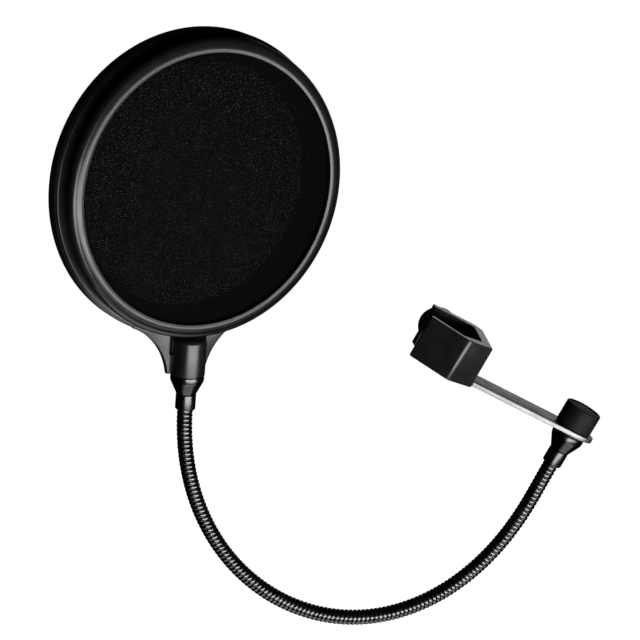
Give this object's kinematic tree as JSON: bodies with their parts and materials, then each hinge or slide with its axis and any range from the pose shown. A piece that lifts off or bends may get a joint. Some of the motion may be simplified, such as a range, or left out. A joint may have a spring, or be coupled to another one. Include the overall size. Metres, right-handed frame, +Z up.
{
  "type": "pop filter",
  "caption": "Round two-screen microphone pop filter on a black gooseneck, with a flat steel arm, a swivel knob and a screw clamp for a stand tube.",
  "frame": {"origin": "centre of the clamp's grip, on the stand tube's axis at half the clamp's height", "axes": "+Z up, +X from the filter towards the clamp's arm, +Y away from the person who looks at the filter's front; gooseneck and arm lie in the plane y = 0"},
  "size_m": [0.2994, 0.0876, 0.322],
  "materials": {
    "hoop_plastic": "satin black moulded plastic with fine grain",
    "lip_plastic": "satin black, slightly polished retaining rings",
    "screen_knit": "fine black nylon knit, stretched",
    "brass": "turned brass insert",
    "black_chrome": "black chrome plated fittings",
    "gooseneck_steel": "black wound steel gooseneck",
    "nylon_washer": "black nylon washer",
    "washer_steel": "zinc plated washer",
    "knob_plastic": "matte black moulded knob",
    "clamp_plastic": "satin black glass-filled nylon",
    "nut_steel": "zinc plated nut and screws",
    "liner_rubber": "black rubber liner and pad",
    "arm_steel": "gunmetal painted flat steel",
    "clamp_screw_steel": "zinc plated M6 screw"
  },
  "bodies": {
    "clamp": {"clamp_body": "clamp_plastic", "v_jaw_liner": "liner_rubber", "clamp_nut": "nut_steel", "arm_bar": "arm_steel", "bar_screw_1": "nut_steel", "bar_screw_2": "nut_steel"},
    "presser": {"pressure_pad": "clamp_plastic", "pressure_pad_rubber": "liner_rubber"},
    "clamp_screw": {"clamp_screw": "clamp_screw_steel", "clamp_knob": "knob_plastic"},
    "swivel": {"arm_fitting": "black_chrome", "arm_collar": "black_chrome", "arm_sleeve": "black_chrome", "friction_washer": "nylon_washer", "gooseneck_link_01": "gooseneck_steel"},
    "arm_knob": {"arm_knob": "knob_plastic", "arm_knob_insert": "brass", "knob_washer": "washer_steel"},
    "link_02": {"gooseneck_link_02": "gooseneck_steel"},
    "link_03": {"gooseneck_link_03": "gooseneck_steel"},
    "link_04": {"gooseneck_link_04": "gooseneck_steel"},
    "link_05": {"gooseneck_link_05": "gooseneck_steel"},
    "link_06": {"gooseneck_link_06": "gooseneck_steel"},
    "link_07": {"gooseneck_link_07": "gooseneck_steel"},
    "link_08": {"gooseneck_link_08": "gooseneck_steel"},
    "link_09": {"gooseneck_link_09": "gooseneck_steel"},
    "link_10": {"gooseneck_link_10": "gooseneck_steel", "head_fitting": "black_chrome", "neck_collar": "black_chrome", "head_sleeve": "black_chrome"},
    "head": {"front_hoop": "hoop_plastic", "front_retaining_ring": "lip_plastic", "front_screen": "screen_knit", "spacer_ring": "hoop_plastic", "rear_hoop": "hoop_plastic", "rear_retaining_ring": "lip_plastic", "rear_screen": "screen_knit", "neck_insert": "brass"}
  },
  "joints": [
    {"name": "clamp_travel", "type": "slide", "parent": "clamp", "child": "presser", "axis": [0, 1, 0], "range_m": [0, 0.0198]},
    {"name": "clamp_screw_turn", "type": "hinge", "parent": "presser", "child": "clamp_screw", "pos_m": [-0.00137, 0, 0.00062], "axis": [0, 1, 0], "range_deg": [0, 7200]},
    {"name": "arm_swivel", "type": "hinge", "parent": "clamp", "child": "swivel", "pos_m": [0.07044, 0, -0.04424], "axis": [0.4108, 0, 0.9117], "continuous": true},
    {"name": "arm_knob_turn", "type": "hinge", "parent": "swivel", "child": "arm_knob", "pos_m": [0.07044, 0, -0.04424], "axis": [0.4108, 0, 0.9117], "range_deg": [0, 540]},
    {"name": "gooseneck_bend", "type": "hinge", "parent": "swivel", "child": "link_02", "pos_m": [0.04933, 0, -0.09185], "axis": [0, 1, 0], "range_deg": [-26, 3]},
    {"name": "gooseneck_sway", "type": "hinge", "parent": "link_02", "child": "link_03", "pos_m": [0.03244, 0, -0.1186], "axis": [-0.7801, 0, 0.6257], "range_deg": [-18, 18]},
    {"name": "gooseneck_bend_2", "type": "hinge", "parent": "link_03", "child": "link_04", "pos_m": [0.00957, 0, -0.14039], "axis": [0, 1, 0], "range_deg": [-26, 3]},
    {"name": "gooseneck_sway_2", "type": "hinge", "parent": "link_04", "child": "link_05", "pos_m": [-0.01879, 0, -0.15419], "axis": [-0.2742, 0, 0.9617], "range_deg": [-18, 18]},
    {"name": "gooseneck_bend_3", "type": "hinge", "parent": "link_05", "child": "link_06", "pos_m": [-0.05017, 0, -0.15681], "axis": [0, 1, 0], "range_deg": [-26, 3]},
    {"name": "gooseneck_sway_3", "type": "hinge", "parent": "link_06", "child": "link_07", "pos_m": [-0.08026, 0, -0.14748], "axis": [0.463, 0, 0.8863], "range_deg": [-18, 18]},
    {"name": "gooseneck_bend_4", "type": "hinge", "parent": "link_07", "child": "link_08", "pos_m": [-0.10539, 0, -0.1284], "axis": [0, 1, 0], "range_deg": [-26, 3]},
    {"name": "gooseneck_sway_4", "type": "hinge", "parent": "link_08", "child": "link_09", "pos_m": [-0.1235, 0, -0.10253], "axis": [0.8923, 0, 0.4514], "range_deg": [-18, 18]},
    {"name": "gooseneck_bend_5", "type": "hinge", "parent": "link_09", "child": "link_10", "pos_m": [-0.134, 0, -0.07272], "axis": [0, 1, 0], "range_deg": [-26, 3]},
    {"name": "screen_swivel", "type": "hinge", "parent": "link_10", "child": "head", "pos_m": [-0.13729, 0, 0.07963], "axis": [0, 0, 1], "range_deg": [-120, 120]}
  ],
  "couplings": [
    {"joint": "clamp_screw_turn", "follows": "clamp_travel", "rad_per_m": 6283.2},
    {"joint": "gooseneck_bend_2", "follows": "gooseneck_bend", "ratio": 1},
    {"joint": "gooseneck_sway_2", "follows": "gooseneck_sway", "ratio": 1},
    {"joint": "gooseneck_bend_3", "follows": "gooseneck_bend", "ratio": 1},
    {"joint": "gooseneck_sway_3", "follows": "gooseneck_sway", "ratio": 1},
    {"joint": "gooseneck_bend_4", "follows": "gooseneck_bend", "ratio": 1},
    {"joint": "gooseneck_sway_4", "follows": "gooseneck_sway", "ratio": 1},
    {"joint": "gooseneck_bend_5", "follows": "gooseneck_bend", "ratio": 1}
  ]
}
